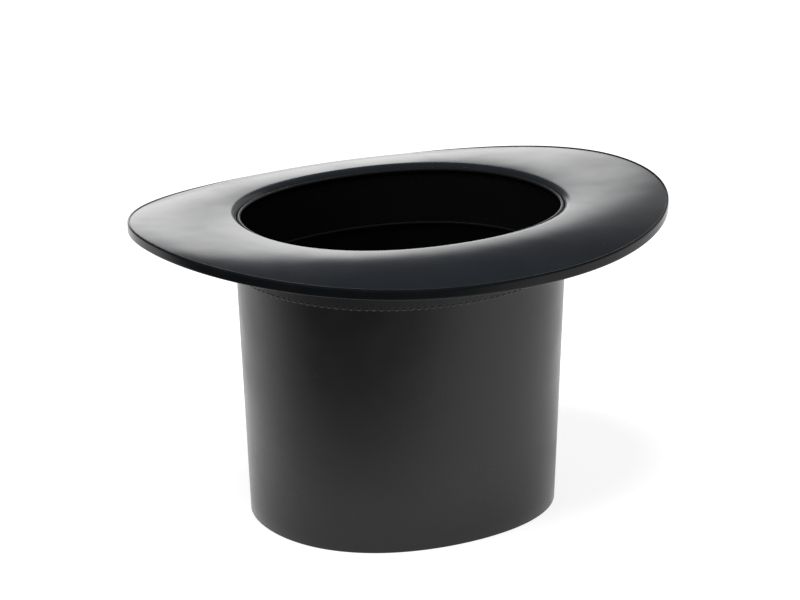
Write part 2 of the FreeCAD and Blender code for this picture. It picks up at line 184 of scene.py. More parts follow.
class TopHatStudio(PropertyGroup):
    """Camera and lights."""
    azimuth: angle_of("Azimuth", "Direction of the camera", -31.09)
    elevation: angle_of("Elevation", "Height of the camera over the hat", 17.95)
    roll: angle_of("Roll", "Tilt of the camera", -0.39)
    aim: FloatVectorProperty(
        name="Aim", description="Point that the camera looks at", default=(-0.0010, 0.0006, 0.1268),
        precision=4, subtype="XYZ", unit="LENGTH")
    distance: length_of("Distance", "Camera to the point that it looks at", 1809.7)
    lens: FloatProperty(name="Lens", description="Focal length", default=136.9, unit="CAMERA")
    wall_white: number_of("Wall White", "Brightness of the wall at its foot", 1.55)
    wall_rise: number_of("Wall Rise", "Brightness gained with height", 3.1)
    wall_top: number_of("Wall Top", "Height at which the white stops", 0.37)
    wall_blur: number_of("Wall Blur", "Softness of the wall's top", 0.1)
    wall_slant: number_of("Wall Slant", "Rise of the wall's top to the left; less than 0 is a fall", -0.71)
    wall_side: number_of("Wall Side", "Side at which the wall gets dimmer", -0.084)
    wall_turn: number_of("Wall Turn", "Softness of the change to the dimmer part", 0.07)
    wall_dim: share_of("Wall Dim", "Share of the white that is left to the right", 0.12)
    room: number_of("Room", "Brightness of the dim room", 0.18)
    flag_start: length_of("Flag Start", "Distance before the hat at which the floor starts to fade", 60.0)
    flag_end: length_of("Flag End", "Distance before the hat at which the floor is dark", 430.0)
    flag_turn: angle_of("Flag Turn", "Angle from the camera to the dark end of the floor", -20.0)
    flag_near: length_of("Flag Near", "Middle of the hat to the dark sheet's near side", 50.0)
    flag_far: length_of("Flag Far", "Middle of the hat to the dark sheet's far side", 3000.0)
    flag_height: length_of("Flag Height", "Dark sheet above the floor", 0.8)
    floor_colour: colour_of("Floor Colour", "Pale paper of the floor", 0.45, 0.45, 0.45)
    floor_glow: number_of("Floor Glow", "Light that the floor gives off", 0.85)
    floor: length_of("Floor", "Radius of the floor", 12000.0)
    floor_drop: length_of("Floor Drop", "Floor below the tip", 0.2)
    light_azimuth: angle_of("Light Azimuth", "Direction of the softbox", -60.0)
    light_elevation: angle_of("Light Elevation", "Height of the softbox", 72.0)
    light_distance: length_of("Light Distance", "Softbox to the hat", 2200.0)
    light_aim: length_of("Light Aim", "Height over the tip at which the softbox points", 100.0)
    light_size: length_of("Light Size", "Diameter of the softbox", 1300.0)
    light_power: number_of("Light Power", "Power of the softbox", 60.0)


# ---- shapes round the hat: radius and height as arrays, rows along a profile, columns round the oval ----

def ellipse_radius(angle, long_half, short_half):
    """Ellipse in polar form: 1 / sqrt((cos / long)^2 + (sin / short)^2)."""
    return 1 / np.hypot(np.cos(angle) / long_half, np.sin(angle) / short_half)


def oval_radius(angle, long_half, short_half, fullness):
    """Ellipse made fuller between its axes: ellipse * (1 + fullness * sin^2 of twice its own angle)."""
    own_angle = np.arctan2(np.sin(angle) / short_half, np.cos(angle) / long_half)
    return ellipse_radius(angle, long_half, short_half) * (1 + fullness * np.sin(2 * own_angle) ** 2)


def crown_radius(shape, level, inset, angle):
    """Crown's outer oval, whose half-lengths change evenly with height, moved inward by inset."""
    share = level / WALL_TOP
    long_half = TIP_HALVES[0] + (MOUTH_HALVES[0] - TIP_HALVES[0]) * share - inset
    short_half = TIP_HALVES[1] + (MOUTH_HALVES[1] - TIP_HALVES[1]) * share - inset
    return oval_radius(angle, long_half, short_half, shape.fullness)


def crest_radius(shape, angle):
    return oval_radius(angle, shape.crest_long, shape.crest_short, shape.fullness)


def edge_radius(shape, angle):
    """Superellipse: ((|cos| / long)^power + (|sin| / short)^power)^(-1 / power)."""
    ahead = np.abs(np.cos(angle)) / EDGE_HALVES[0]
    across = np.abs(np.sin(angle)) / EDGE_HALVES[1]
    return (ahead ** shape.edge_power + across ** shape.edge_power) ** (-1 / shape.edge_power)


def brim_height(shape, share, angle):
    """Crest level + climb * share - roll * share^2 + sweep * share^3 - curl * share^5, where each
    of the four swings round the hat with the cosine of twice the angle. The roll also dips
    between the ends and the sides, with the cosine of four times the angle."""
    swing = np.cos(2 * angle)
    climb = shape.climb_mean + shape.climb_swing * swing
    roll = shape.roll_mean + shape.roll_swing * swing - shape.quarter_dip * np.cos(4 * angle)
    sweep = shape.sweep_mean + shape.sweep_swing * swing
    curl = shape.curl_mean + shape.curl_swing * swing
    rise = climb * share - roll * share ** 2 + sweep * share ** 3 - curl * share ** 5
    return shape.crest_level + rise


def tape_height(shape, angle):
    return shape.tape_edge + shape.tape_swing * np.cos(2 * angle)


def round_angles(columns):
    return np.arange(columns) * FULL_TURN / columns


def wall_run(shape, low, high, inset, rows, angle):
    """A run that follows the crown between two levels, which may differ from column to column."""
    share = np.linspace(0, 1, rows)[:, None]
    height = low + (high - low) * share + 0 * angle
    return crown_radius(shape, height, inset, angle), height


def lip_run(shape, inset, drop, rows, angle, reach=None):
    """Cubic quarter turn from the crown's side to the crest, drop below the upper face. With a
    reach, it starts where the turn's radius has grown that far."""
    start_level = shape.crest_level - shape.lip_height
    start = crown_radius(shape, start_level, inset, angle)
    crest = crest_radius(shape, angle)
    tall = shape.lip_height - drop
    slope = (shape.climb_mean + shape.climb_swing * np.cos(2 * angle)) / (edge_radius(shape, angle) - crest)
    back = TURN_HANDLE * (crest - start)
    first = 0.0
    if reach is not None:
        way = np.linspace(0, 1, 200)
        grown = 3 * (1 - TURN_HANDLE) * (1 - way) * way ** 2 + way ** 3
        first = np.interp((reach - start) / (crest - start), grown, way)
    t = first + (1 - first) * np.linspace(0, 1, rows)[:, None]
    weights = ((1 - t) ** 3, 3 * (1 - t) ** 2 * t, 3 * (1 - t) * t ** 2, t ** 3)
    radii = (start, start, crest - back, crest)
    heights = (0.0, TURN_HANDLE * tall, tall - slope * back, tall)
    radius = sum(weight * value for weight, value in zip(weights, radii))
    height = start_level + sum(weight * value for weight, value in zip(weights, heights))
    return radius, height


def brim_run(shape, drop, short_of_edge, rows, angle):
    """The brim from the crest to a little short of its edge, drop below its upper face."""
    crest = crest_radius(shape, angle)
    width = edge_radius(shape, angle) - crest
    share = np.linspace(0, 1, rows)[:, None] * (width - short_of_edge) / width
    return crest + share * width, brim_height(shape, share, angle) - drop


def arc_run(centre_radius, centre_height, size, start, stop, rows):
    """Part of a circle in each column's plane, from one angle to another; 0 points outward, 90 up."""
    turn = np.radians(np.linspace(start, stop, rows))[:, None]
    return centre_radius + size * np.cos(turn), centre_height + 0 * centre_radius + size * np.sin(turn)


def chain(*runs):
    """Runs one after another as one profile; a run's first row that repeats the last is left out."""
    radii = [runs[0][0]]
    heights = [runs[0][1]]
    for radius, height in runs[1:]:
        repeated = np.abs(radius[0] - radii[-1][-1]).max() + np.abs(height[0] - heights[-1][-1]).max()
        first = 1 if repeated < 1e-7 else 0
        radii.append(radius[first:])
        heights.append(height[first:])
    return np.concatenate(radii), np.concatenate(heights)


def thicken(line, thickness, cap_rows=5):
    """A closed profile round a middle line: both sides half the thickness away along the line's
    normal, and a half circle at each end. Thickness is one number or one for each row."""
    radius, height = line
    along_radius, along_height = np.gradient(radius, axis=0), np.gradient(height, axis=0)
    size = np.hypot(along_radius, along_height)
    along_radius, along_height = along_radius / size, along_height / size
    half = np.broadcast_to(np.asarray(thickness, float).reshape(-1, 1) / 2, radius.shape)

    def cap(row, sign):
        turn = np.linspace(0, math.pi, cap_rows + 2)[1:-1, None]
        out_radius = sign * (along_height[row] * np.cos(turn) + along_radius[row] * np.sin(turn))
        out_height = sign * (-along_radius[row] * np.cos(turn) + along_height[row] * np.sin(turn))
        return radius[row] + half[row] * out_radius, height[row] + half[row] * out_height

    right = radius + half * along_height, height - half * along_radius
    left = radius - half * along_height, height + half * along_radius
    end, start = cap(-1, 1), cap(0, -1)
    profile_radius = np.concatenate([right[0], end[0], left[0][::-1], start[0]])
    profile_height = np.concatenate([right[1], end[1], left[1][::-1], start[1]])
    return profile_radius, profile_height


# ---- meshes ----

def put_mesh(name, points, faces, corner_uv=None, point_uv=None):
    """A smooth mesh object from points, blocks of faces, and a UV map in metres."""
    mesh = bpy.data.meshes.new(name)
    every = []
    for block in faces:
        every += block.tolist()
    mesh.from_pydata(points.tolist(), [], every)
    if corner_uv is None:
        corners = np.empty(len(mesh.loops), np.int32)
        mesh.loops.foreach_get("vertex_index", corners)
        corner_uv = point_uv[corners]
    mesh.uv_layers.new(name="UVMap").data.foreach_set("uv", corner_uv.astype(np.float32).ravel())
    mesh.shade_smooth()
    piece = bpy.data.objects.new(name, mesh)
    bpy.context.scene.collection.objects.link(piece)
    return piece


def quads(rows, columns, close_rows):
    """Corner indices of a grid's quads; columns close on themselves, and rows do if asked."""
    row = np.arange(rows if close_rows else rows - 1)[:, None]
    column = np.arange(columns)[None, :]
    next_row = (row + 1) % rows
    next_column = (column + 1) % columns
    corners = [row * columns + column, row * columns + next_column,
               next_row * columns + next_column, next_row * columns + column]
    return np.stack(np.broadcast_arrays(*corners), -1).reshape(-1, 4)


def fan(pole, rim):
    """Triangles from one pole to each step along a closed rim of points."""
    return np.stack([np.full(len(rim), pole), rim, np.roll(rim, -1)], -1)


def steps_of(points):
    """Running length along a closed line of points, with the whole length at its end."""
    gaps = np.linalg.norm(np.roll(points, -1, 0) - points, axis=1)
    return np.concatenate([[0], np.cumsum(gaps)])


def volume_of(points, faces):
    """Signed volume of a closed mesh of quads: the sum of its tetrahedra to the origin."""
    first, second, third, fourth = (points[faces[:, corner]] for corner in range(4))
    return ((first * np.cross(second, third)).sum() + (first * np.cross(third, fourth)).sum()) / 6


def round_points(radius, height, angle):
    """Points x = radius cos, y = radius sin, z = height."""
    x = radius * np.cos(angle)
    return np.stack([x, radius * np.sin(angle), height + 0 * x], -1)


def ring(name, profile, angle):
    """A closed ring: the closed profile carried round the hat. U runs round the hat and V round
    the profile, both in metres."""
    points = round_points(*profile, angle)
    rows, columns = points.shape[:2]
    across = steps_of(points[0])
    along = steps_of(points[:, 0])
    faces = quads(rows, columns, True)
    row, column = np.divmod(np.arange(rows * columns), columns)
    left, right = across[column], across[column + 1]
    low, high = along[row], along[row + 1]
    uv = np.stack([np.stack([left, right, right, left], -1), np.stack([low, low, high, high], -1)], -1)
    points = points.reshape(-1, 3)
    if volume_of(points, faces) < 0:
        faces = faces[:, ::-1]
        uv = uv[:, ::-1]
    return put_mesh(name, points, [faces], corner_uv=uv.reshape(-1, 2))


def plate(name, shape, low, high, inset, rounding, angle):
    """A flat oval plate: ovals that grow from the middle of the lower face to the rim, follow a
    quarter circle up and another back, and shrink to the middle of the upper face."""
    turn = np.linspace(0, math.pi / 2, 5)[:, None]
    spread = np.linspace(0, 1, 16)[1:, None]
    rim = crown_radius(shape, low, inset, angle)
    flat = rim - rounding
    radius = np.concatenate([
        spread * flat, flat + rounding * np.sin(turn[1:]), flat + rounding * np.sin(turn[::-1]),
        spread[-2::-1] * flat])
    lift = rounding * (1 - np.cos(turn))
    height = np.concatenate([
        low + 0 * spread, low + lift[1:], high - lift[::-1], high + 0 * spread[:-1]])
    rows, columns = radius.shape
    poles = np.array([[0, 0, low], [0, 0, high]])
    points = np.concatenate([round_points(radius, height, angle).reshape(-1, 3), poles])
    first_rim = np.arange(columns)
    last_rim = first_rim + (rows - 1) * columns
    first_cap = fan(rows * columns, first_rim[::-1])
    last_cap = fan(rows * columns + 1, last_rim)
    faces = [quads(rows, columns, False), first_cap, last_cap]
    return put_mesh(name, points, faces, point_uv=points[:, :2])


def stitch_row(name, line, outward, pitch, length, thickness):
    """A row of stitches along a closed line, evenly spaced. Each is a rounded length of thread:
    across it a circle that shrinks to the ends as (1 - |s|^2.6)^0.5, and along it a middle line
    that sinks into the cloth as |s|^3, s being -1 to 1."""
    run = steps_of(line)
    count = round(run[-1] / pitch)
    places = (np.arange(count) + 0.5) * run[-1] / count

    def on_line(values, where):
        closed = np.concatenate([values, values[:1]])
        return np.stack([np.interp(where, run, closed[:, axis]) for axis in range(3)], -1)

    def unit(vectors):
        return vectors / np.linalg.norm(vectors, axis=-1, keepdims=True)

    centre = on_line(line, places)
    ahead = unit(on_line(line, places + pitch / 4) - on_line(line, places - pitch / 4))
    out = on_line(outward, places)
    out = unit(out - (out * ahead).sum(1, keepdims=True) * ahead)
    up = np.cross(ahead, out)
    rows, columns = 7, 8
    s = np.linspace(-1, 1, rows)[:, None] * 0.985
    turn = np.arange(columns) * FULL_TURN / columns
    size = 0.5 * thickness * np.sqrt(1 - np.abs(s) ** 2.6)
    sink = 0.5 * thickness * np.abs(s) ** 3
    place_out = np.append(size * np.cos(turn) - sink, [-0.5 * thickness] * 2)
    place_up = np.append(size * np.sin(turn), [0, 0])
    place_ahead = np.append(0.5 * length * (s + 0 * turn), [-0.5 * length, 0.5 * length])
    points = (centre[:, None] + place_out[:, None] * out[:, None] + place_up[:, None] * up[:, None]
              + place_ahead[:, None] * ahead[:, None])
    base = np.arange(count)[:, None, None] * len(place_out)
    rim = np.arange(columns)
    blocks = [quads(rows, columns, False), fan(rows * columns, rim[::-1]),
              fan(rows * columns + 1, rim + (rows - 1) * columns)]
    faces = [(block + base).reshape(-1, block.shape[1]) for block in blocks]
    uv = np.stack([place_ahead, np.append(thickness * (turn + 0 * s), [0, 0])], -1)
    return put_mesh(name, points.reshape(-1, 3), faces, point_uv=np.tile(uv, (count, 1)))


# ---- shader maths ----

class Value:
    """A socket on which arithmetic adds Math nodes."""

    def __init__(self, shader, socket):
        self.shader = shader
        self.socket = socket

    def combine(self, operation, first, second):
        return self.shader.node(
            "ShaderNodeMath", {"operation": operation}, {0: first, 1: second})

    def __add__(self, other):
        return self.combine("ADD", self, other)

    def __radd__(self, other):
        return self.combine("ADD", other, self)

    def __sub__(self, other):
        return self.combine("SUBTRACT", self, other)

    def __rsub__(self, other):
        return self.combine("SUBTRACT", other, self)

    def __mul__(self, other):
        return self.combine("MULTIPLY", self, other)

    def __rmul__(self, other):
        return self.combine("MULTIPLY", other, self)

    def __truediv__(self, other):
        return self.combine("DIVIDE", self, other)

    def __pow__(self, other):
        return self.combine("POWER", self, other)

    def at_least(self, low):
        return self.combine("MAXIMUM", self, low)

    def at_most(self, high):
        return self.combine("MINIMUM", self, high)

    def sine(self):
        return self.shader.node("ShaderNodeMath", {"operation": "SINE"}, {0: self})

    def step(self, low, high, out_low=0.0, out_high=1.0):
        """Smooth step: out_low below low, out_high above high."""
        return self.shader.node(
            "ShaderNodeMapRange", {"interpolation_type": "SMOOTHSTEP"},
            {"Value": self, "From Min": low, "From Max": high, "To Min": out_low, "To Max": out_high})


class Shader:
    """A node tree under construction."""

    def __init__(self, tree):
        self.tree = tree
        self.tree.nodes.clear()

    def node(self, kind, settings=None, inputs=None, output=0):
        """Adds a node, applies its settings, then sets or links its sockets."""
        node = self.tree.nodes.new(kind)
        for name, setting in (settings or {}).items():
            if name == "stops":
                self.set_stops(node.color_ramp, setting)
            else:
                setattr(node, name, setting)
        for name, value in (inputs or {}).items():
            if isinstance(value, Value):
                self.tree.links.new(value.socket, node.inputs[name])
            else:
                node.inputs[name].default_value = value
        return Value(self, node.outputs[output]) if node.outputs else None

    def set_stops(self, ramp, stops):
        while len(ramp.elements) < len(stops):
            ramp.elements.new(0.5)
        for element, (place, colour) in zip(ramp.elements, stops):
            element.position = place
            element.color = colour

    def object_place(self):
        return self.node("ShaderNodeTexCoord", output=3)

    def cloth_place(self):
        """U and V of the piece's own map, in metres."""
        place = self.node("ShaderNodeUVMap", {"uv_map": "UVMap"})
        return (self.node("ShaderNodeSeparateXYZ", inputs={0: place}, output=0),
                self.node("ShaderNodeSeparateXYZ", inputs={0: place}, output=1))

    def noise(self, place, scale, detail=2.0, roughness=0.5):
        return self.node(
            "ShaderNodeTexNoise", {},
            {"Vector": place, "Scale": scale, "Detail": detail, "Roughness": roughness})

    def cells(self, place, scale, feature="F1", randomness=1.0):
        return self.node(
            "ShaderNodeTexVoronoi", {"feature": feature},
            {"Vector": place, "Scale": scale, "Randomness": randomness})

    def stretch(self, place, scale):
        return self.node("ShaderNodeMapping", {}, {"Vector": place, "Scale": scale})

    def mix(self, factor, first, second):
        return self.node(
            "ShaderNodeMix", {"data_type": "RGBA"}, {0: factor, 6: first, 7: second}, output=2)

    def bump(self, height, distance, strength=1.0, normal=None):
        inputs = {"Height": height, "Distance": distance, "Strength": strength}
        if normal is not None:
            inputs["Normal"] = normal
        return self.node("ShaderNodeBump", {}, inputs)

    def surface(self, **inputs):
        """The finished surface; underscores in a socket's name stand for spaces."""
        sockets = {name.replace("_", " "): value for name, value in inputs.items()}
        shader = self.node("ShaderNodeBsdfPrincipled", {}, sockets)
        self.node("ShaderNodeOutputMaterial", {}, {"Surface": shader})


def new_material(name):
    material = bpy.data.materials.new(name)
    material.use_nodes = True
    return material, Shader(material.node_tree)


def opaque(colour, brightness=1.0):
    return tuple(part * brightness for part in colour) + (1.0,)


# ---- materials ----

def lacquer(name, colour, roughness, wander, seed, density=1.5):
    """Black lacquer over a stiffened shell: slow smears in its gloss, a faint orange peel, fine
    hairline rubs and a little dust."""
    material, shader = new_material(name)
    place = shader.object_place()
    moved = shader.node("ShaderNodeVectorMath", {"operation": "ADD"}, {0: place, 1: (seed, 0, 0)})
    smear = shader.noise(moved, 14.0, 3.0, 0.55).step(0.35, 0.72)
    patch = shader.noise(place, 60.0, 2.0).step(0.4, 0.75)
    rub = shader.noise(shader.stretch(place, (900.0, 900.0, 60.0)), 1.0, 2.0).step(0.66, 0.74)
    dust = 1 - shader.cells(place, 95.0).step(0.012, 0.03)
    peel = shader.noise(place, 700.0, 1.0)
    wave = shader.noise(place, 32.0, 1.0)
    tone = shader.mix(smear * 0.5 + patch * 0.25, opaque(colour, 0.85), opaque(colour, 1.25))
    tone = shader.mix(dust * 0.35, tone, opaque((0.09, 0.09, 0.085)))
    gloss = roughness + (smear - 0.5) * wander + patch * wander * 0.4 + rub * 0.05 + dust * 0.2
    relief = shader.bump(wave, 0.0009, 0.25)
    relief = shader.bump(peel, 0.00002, 0.5, relief)
    shader.surface(Base_Color=tone, Roughness=gloss, Normal=relief, IOR=density)
    return material


def ribbed_ribbon(name, colour, pitch, roughness, depth):
    """Grosgrain ribbon: ribs across its length, and finer threads along it."""
    material, shader = new_material(name)
    along, across = shader.cloth_place()
    ribs = (along * (FULL_TURN / pitch)).sine() * 0.5 + 0.5
    threads = (across * (FULL_TURN / (pitch * 0.6))).sine() * 0.5 + 0.5
    wear = shader.noise(shader.object_place(), 45.0, 3.0).step(0.35, 0.7)
    tone = shader.mix(ribs * 0.6 + wear * 0.3, opaque(colour, 0.6), opaque(colour, 1.3))
    relief = shader.bump(ribs * (0.8 + threads * 0.2), depth, 0.7)
    shader.surface(
        Base_Color=tone, Roughness=roughness + wear * 0.08, Normal=relief, Sheen_Weight=0.08,
        Sheen_Roughness=0.4, IOR=1.45)
    return material


def leather(name, colour):
    """Fine-grained black leather: pebbles between creases, polished where the head rubs it."""
    material, shader = new_material(name)
    place = shader.object_place()
    pebbles = shader.cells(place, 900.0, "DISTANCE_TO_EDGE").step(0.0, 0.25)
    creases = shader.cells(shader.stretch(place, (1.0, 1.0, 0.4)), 180.0, "DISTANCE_TO_EDGE").step(0.0, 0.06)
    polish = shader.noise(place, 25.0, 3.0).step(0.35, 0.7)
    tone = shader.mix(pebbles * 0.6 + polish * 0.3, opaque(colour, 0.6), opaque(colour, 1.4))
    relief = shader.bump(pebbles * 0.6 + creases * 0.4, 0.00006, 0.6)
    shader.surface(Base_Color=tone, Roughness=0.32 - polish * 0.06, Normal=relief, IOR=1.36)
    return material


def satin(name, colour):
    """Satin lining: long floats across a fine twill, and soft pulls where it is glued."""
    material, shader = new_material(name)
    along, across = shader.cloth_place()
    twill = ((along + across * 0.5) * (FULL_TURN / 0.0006)).sine() * 0.5 + 0.5
    pulls = shader.noise(shader.stretch(shader.object_place(), (30.0, 30.0, 9.0)), 1.0, 2.0)
    tone = shader.mix(twill * 0.6, opaque(colour, 0.7), opaque(colour, 1.4))
    relief = shader.bump(pulls, 0.0006, 0.4)
    relief = shader.bump(twill, 0.00003, 0.5, relief)
    shader.surface(
        Base_Color=tone, Roughness=0.5 + twill * 0.08, Normal=relief, Sheen_Weight=0.01, Sheen_Roughness=0.3,
        IOR=1.25)
    return material


def waxed_thread(name, colour, pitch=0.0007, density=1.45):
    """Twisted thread: two plies that wind round it under a waxy gloss, each ply's crest painted lighter as a
    painted highlight and the grooves between them painted darker as painted shade.
    """
    material, shader = new_material(name)
    along, around = shader.cloth_place()
    ply = ((along / pitch + around / 0.0009) * FULL_TURN).sine() * 0.5 + 0.5
    # Painted highlight on each ply's crest and painted shade in the grooves between plies.
    tone = shader.mix(ply, opaque(colour, 0.55), opaque(colour, 1.3))
    relief = shader.bump(ply, 0.00008, 0.7)
    shader.surface(Base_Color=tone, Roughness=0.38 + ply * 0.08, Normal=relief, IOR=density)
    return material


def drawn_steel(name, colour):
    """Drawn wire: fine lines along it and a few dull spots."""
    material, shader = new_material(name)
    place = shader.object_place()
    lines = shader.noise(shader.stretch(place, (60.0, 60.0, 4000.0)), 1.0, 2.0)
    spots = shader.noise(place, 120.0, 3.0).step(0.55, 0.7)
    tone = shader.mix(spots * 0.5, opaque(colour), opaque(colour, 0.45))
    shader.surface(
        Base_Color=tone, Metallic=1.0, Roughness=0.24 + lines * 0.12 + spots * 0.2,
        Normal=shader.bump(lines, 0.00002, 0.4))
    return material


def plain_floor(name, colour, glow):
    """Pale matte paper with the faintest tooth, lit a little from below."""
    material, shader = new_material(name)
    tooth = shader.noise(shader.object_place(), 220.0, 3.0)
    tone = shader.mix(tooth * 0.3, opaque(colour), opaque(colour, 0.97))
    shader.surface(
        Base_Color=tone, Roughness=0.9, Specular_IOR_Level=0.1, Emission_Color=(1.0, 1.0, 1.0, 1.0),
        Emission_Strength=glow)
    return material


# ---- pieces ----

def finish_piece(piece, material, slot, *nodes):
    """Gives a piece its material and lets it stand for its frame nodes; the slot argument is not used."""
    piece.data.materials.append(material)
    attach(piece, "root")
    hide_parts(*nodes)


def shape_of(context):
    return context.scene.top_hat_shape, context.scene.top_hat_finish


def wall_face(shape, layer):
    """Inset of the face on which a layer lies: 0 the crown wall's inside, 1 the collar's."""
    return shape.wall + shape.gap + layer * (shape.ply + shape.gap)


class TOPHAT_OT_crown(Operator):
    """Build the crown: its tapering side and the flat tip set into its end"""
    bl_idname = "tophat.crown"
    bl_label = "Crown"

    def execute(self, context):
        shape, finish = shape_of(context)
        angle = round_angles(shape.columns)
        half = shape.wall / 2
        side = wall_run(shape, half, WALL_TOP - half, half, 24, angle)
        shell = ring("crown_shell", thicken(side, shape.wall), angle)
        # The green cast in the crown's colour is painted reflection.
        coat = lacquer(
            "crown_lacquer", finish.crown, finish.crown_roughness, wander=0.08, seed=3.0, density=1.39)
        finish_piece(shell, coat, "crown_shell", "crown_wall")
        tip = plate("tip_plate", shape, 0.0, TIP_THICKNESS, shape.wall + shape.gap, shape.tip_edge, angle)
        finish_piece(tip, coat, "crown_shell", "crown_tip")
        return {"FINISHED"}


class TOPHAT_OT_linings(Operator):
    """Line the crown with satin: a band round its side and an oval on the tip"""
    bl_idname = "tophat.linings"
    bl_label = "Linings"

    def execute(self, context):
        shape, finish = shape_of(context)
        angle = round_angles(shape.columns)
        cloth = satin("satin_lining", finish.lining)
        half = LINING_THICKNESS / 2
        inset = wall_face(shape, 0) + half
        foot = TIP_THICKNESS + shape.gap + half
        side = wall_run(shape, foot, LINING_TOP - half, inset, 24, angle)
        band = ring("side_cloth", thicken(side, LINING_THICKNESS), angle)
        finish_piece(band, cloth, "lining_cloth", "side_lining")
        low = TIP_THICKNESS + shape.gap
        edge = wall_face(shape, 0) + LINING_THICKNESS + shape.gap
        disc = plate("tip_cloth", shape, low, low + LINING_THICKNESS, edge, shape.lining_edge, angle)
        finish_piece(disc, cloth, "lining_cloth", "tip_lining")
        middle = (foot + LINING_TOP) / 2
        girth = steps_of(round_points(crown_radius(shape, middle, inset, angle), middle, angle))[-1]
        halves = TIP_HALVES[0] - edge, TIP_HALVES[1] - edge
        area = math.pi * halves[0] * halves[1] * (1 + shape.fullness)
        2 * halves[0]
        2 * halves[1]
        return {"FINISHED"}


class TOPHAT_OT_brim(Operator):
    """Build the brim: an upper ply that turns down into the collar, and a lower ply under it"""
    bl_idname = "tophat.brim"
    bl_label = "Brim"

    def execute(self, context):
        shape, finish = shape_of(context)
        angle = round_angles(shape.columns)
        half = shape.ply / 2
        inset = wall_face(shape, 0) + half
        edge = shape.binding + shape.gap + half
        start = shape.crest_level - shape.lip_height
        upper = chain(
            wall_run(shape, SWEATBAND_FOOT + half, start, inset, 10, angle),
            lip_run(shape, inset, half, 16, angle),
            brim_run(shape, half, edge, 44, angle))
        top = ring("brim_top", thicken(upper, shape.ply), angle)
        # The blue cast in the brim's colour is painted reflection.
        coat = lacquer("brim_lacquer", finish.brim, finish.brim_roughness, wander=0.06, seed=11.0)
        finish_piece(top, coat, "brim_shell", "brim_upper_ply")
        drop = 1.5 * shape.ply + shape.gap
        clear = crown_radius(shape, shape.crest_level, -shape.tape - shape.gap - half, angle)
        lower = chain(
            lip_run(shape, inset - half, drop, 8, angle, reach=clear),
            brim_run(shape, drop, edge, 44, angle))
        under = ring("brim_underside", thicken(lower, shape.ply), angle)
        # The underside shares the brim's blue cast, a painted reflection.
        duller = lacquer(
            "underside_lacquer", finish.brim, finish.brim_roughness + 0.14, wander=0.06, seed=23.0)
        finish_piece(under, duller, "brim_underside", "brim_lower_ply")
        return {"FINISHED"}


class TOPHAT_OT_binding(Operator):
    """Fold the binding over the brim's edge and lay the wire's finish inside it"""
    bl_idname = "tophat.binding"
    bl_label = "Binding"

    def execute(self, context):
        shape, finish = shape_of(context)
        angle = round_angles(shape.columns)
        half = shape.binding / 2
        edge = edge_radius(shape, angle)
        crest = crest_radius(shape, angle)
        corner = shape.binding_corner
        face = edge - half
        turn = face - corner

        def above(radius):
            share = (radius - crest) / (edge - crest)
            return brim_height(shape, share, angle) + shape.gap

        share = np.linspace(0, 1, 6)[:, None]
        leg = edge - shape.binding_lap + (turn - edge + shape.binding_lap) * share
        thin = shape.binding_skive
        leg_thickness = thin + (shape.binding - thin) * share[:, 0]
        leg_height = above(leg) + leg_thickness[:, None] / 2
        top = leg_height[-1] - corner
        foot = brim_height(shape, 1.0, angle) + shape.binding - shape.binding_height + half
        upper_corner = arc_run(turn, top, corner, 90, 6, 7)
        lower_corner = arc_run(turn, foot + corner, corner, -6, -90, 7)
        lower_leg = (turn - (turn - edge + shape.binding_reach) * share, foot + 0 * leg)
        outer = np.linspace(0, 1, 7)[1:-1, None]
        outer_height = upper_corner[1][-1] + (lower_corner[1][0] - upper_corner[1][-1]) * outer
        outer_radius = face + 0 * outer
        line = chain((leg, leg_height), upper_corner, (outer_radius, outer_height), lower_corner, lower_leg)
        thickness = np.full(len(line[0]), shape.binding)
        thickness[:len(leg)] = leg_thickness
        band = ring("edge_binding", thicken(line, thickness), angle)
        coat = lacquer(
            "binding_lacquer", finish.binding, roughness=0.2, wander=0.05, seed=31.0, density=1.27)
        finish_piece(band, coat, "binding", "brim_binding")
        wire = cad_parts["brim_wire"]
        wire.data.materials.clear()
        wire.data.materials.append(drawn_steel("drawn_steel", finish.steel))
        return {"FINISHED"}


